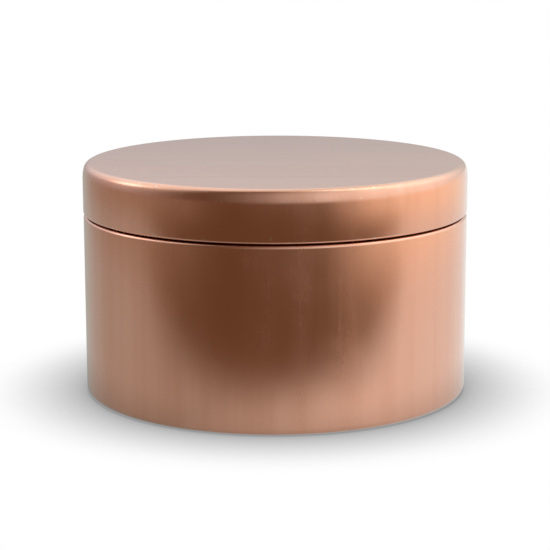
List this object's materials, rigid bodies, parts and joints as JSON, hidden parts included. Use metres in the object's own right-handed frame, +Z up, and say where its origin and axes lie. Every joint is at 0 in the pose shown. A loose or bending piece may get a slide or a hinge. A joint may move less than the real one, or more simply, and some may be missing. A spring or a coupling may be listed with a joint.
{
  "type": "candle tin",
  "caption": "Round metal candle tin, wider than tall, with a flush slip-on lid over a stepped neck and curled edges.",
  "frame": {"origin": "centre of the foot, on the surface that the tin stands on", "axes": "+Z up along the tin's axis of symmetry; X and Y are any two directions across it"},
  "size_m": [0.0772, 0.0772, 0.0464],
  "materials": {
    "body_lacquer": "satin rose copper metallic lacquer on tinplate",
    "lid_lacquer": "satin rose copper metallic lacquer on tinplate"
  },
  "bodies": {
    "tin": {"tin_body": "body_lacquer"},
    "lid": {"lid": "lid_lacquer"}
  },
  "joints": [
    {"name": "lid_lift", "type": "slide", "parent": "tin", "child": "lid", "axis": [0, 0, 1], "range_m": [0, 0.08]}
  ]
}
